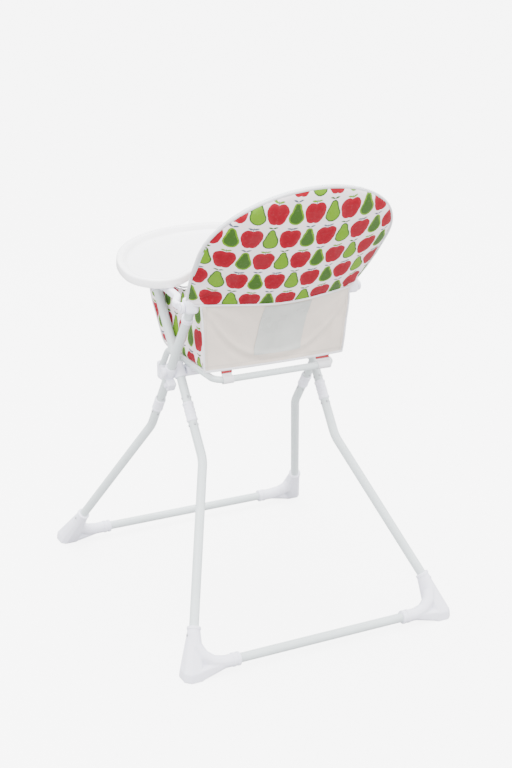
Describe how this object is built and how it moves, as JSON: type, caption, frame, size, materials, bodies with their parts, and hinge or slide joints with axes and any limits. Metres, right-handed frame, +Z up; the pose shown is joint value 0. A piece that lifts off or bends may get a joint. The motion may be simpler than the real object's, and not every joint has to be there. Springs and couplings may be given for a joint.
{
  "type": "baby high chair",
  "caption": "Folding baby high chair: crossed U-shaped tube frames, padded hooped backrest, fabric seat, swing-up arms and a sliding bowl tray.",
  "frame": {"origin": "on the floor, midway between the outer faces of the front and rear feet", "axes": "+Z up, +X to the seated child's left, -Y to the front, where the tray is"},
  "size_m": [0.726, 0.861, 1.078],
  "materials": {
    "powder_white": "satin powder coat",
    "plastic_white": "fine moulded",
    "button_white": "fine moulded",
    "tray_white": "gloss",
    "steel": "zinc plated",
    "printed_cover": "printed coated cloth",
    "lining": "plain lining cloth",
    "webbing": "woven webbing"
  },
  "bodies": {
    "front_frame": {"front_u_tube": "powder_white", "back_upright_left": "powder_white", "back_upright_right": "powder_white", "front_foot_left": "plastic_white", "front_foot_right": "plastic_white", "front_sleeve_left": "plastic_white", "front_sleeve_right": "plastic_white", "hub_cap_left": "plastic_white", "hub_cap_right": "plastic_white", "pivot_bolt_left": "steel", "pivot_bolt_right": "steel", "hub_washer_left": "steel", "hub_washer_right": "steel", "lock_housing_left": "plastic_white", "lock_housing_right": "plastic_white", "arm_knuckle_left": "plastic_white", "arm_knuckle_right": "plastic_white", "arm_pin_left": "steel", "arm_pin_right": "steel", "backrest_hoop": "powder_white", "backrest_pad": "printed_cover"},
    "rear_frame": {"rear_u_tube": "powder_white", "front_upright_left": "powder_white", "front_upright_right": "powder_white", "rear_foot_left": "plastic_white", "rear_foot_right": "plastic_white", "rear_sleeve_left": "plastic_white", "rear_sleeve_right": "plastic_white", "arm_saddle_left": "plastic_white", "arm_saddle_right": "plastic_white"},
    "seat": {"seat_loop": "powder_white", "seat_bracket_left": "plastic_white", "seat_bracket_right": "plastic_white", "footrest_board": "plastic_white", "footrest_bracket_left": "plastic_white", "footrest_bracket_right": "plastic_white", "seat_pad": "printed_cover", "side_panel_left": "printed_cover", "side_panel_right": "printed_cover", "back_panel": "lining", "retaining_tab_left": "lining", "retaining_tab_right": "lining", "crotch_strap": "webbing", "lap_strap_left": "webbing", "lap_strap_right": "webbing", "buckle": "plastic_white"},
    "tray_arms": {"tray_arm_left": "plastic_white", "tray_arm_right": "plastic_white", "arm_cross_bar": "powder_white"},
    "tray_body": {"tray": "tray_white", "tray_rail_left": "plastic_white", "tray_rail_right": "plastic_white"},
    "lock_button_left": {"lock_button_left": "button_white"},
    "lock_button_right": {"lock_button_right": "button_white"},
    "tray_release_left": {"tray_release_left": "button_white"},
    "tray_release_right": {"tray_release_right": "button_white"},
    "buckle_button": {"buckle_button": "button_white"}
  },
  "joints": [
    {"name": "fold", "type": "hinge", "parent": "front_frame", "child": "rear_frame", "pos_m": [0, 0.012, 0.584], "axis": [-1, 0, 0], "range_deg": [0, 60]},
    {"name": "seat_fold", "type": "hinge", "parent": "front_frame", "child": "seat", "pos_m": [0, 0.012, 0.584], "axis": [1, 0, 0], "range_deg": [0, 54]},
    {"name": "arm_fold", "type": "hinge", "parent": "front_frame", "child": "tray_arms", "pos_m": [0, 0.15, 0.779], "axis": [-1, 0, 0], "range_deg": [0, 90]},
    {"name": "tray_slide", "type": "slide", "parent": "tray_arms", "child": "tray_body", "axis": [0, -0.9962, 0.0872], "range_m": [0, 0.05]},
    {"name": "lock_press_left", "type": "slide", "parent": "front_frame", "child": "lock_button_left", "axis": [-1, 0, 0], "range_m": [0, 0.003], "stiffness_N_per_m": 600},
    {"name": "lock_press_right", "type": "slide", "parent": "front_frame", "child": "lock_button_right", "axis": [1, 0, 0], "range_m": [0, 0.003], "stiffness_N_per_m": 600},
    {"name": "release_pull_left", "type": "slide", "parent": "tray_body", "child": "tray_release_left", "axis": [1, 0, 0], "range_m": [0, 0.006], "stiffness_N_per_m": 600},
    {"name": "release_pull_right", "type": "slide", "parent": "tray_body", "child": "tray_release_right", "axis": [-1, 0, 0], "range_m": [0, 0.006], "stiffness_N_per_m": 600},
    {"name": "buckle_press", "type": "slide", "parent": "seat", "child": "buckle_button", "axis": [0, 0, -1], "range_m": [0, 0.0025], "stiffness_N_per_m": 600}
  ],
  "couplings": [
    {"joint": "seat_fold", "follows": "fold", "ratio": 0.9},
    {"joint": "arm_fold", "follows": "fold", "ratio": 1.5}
  ]
}
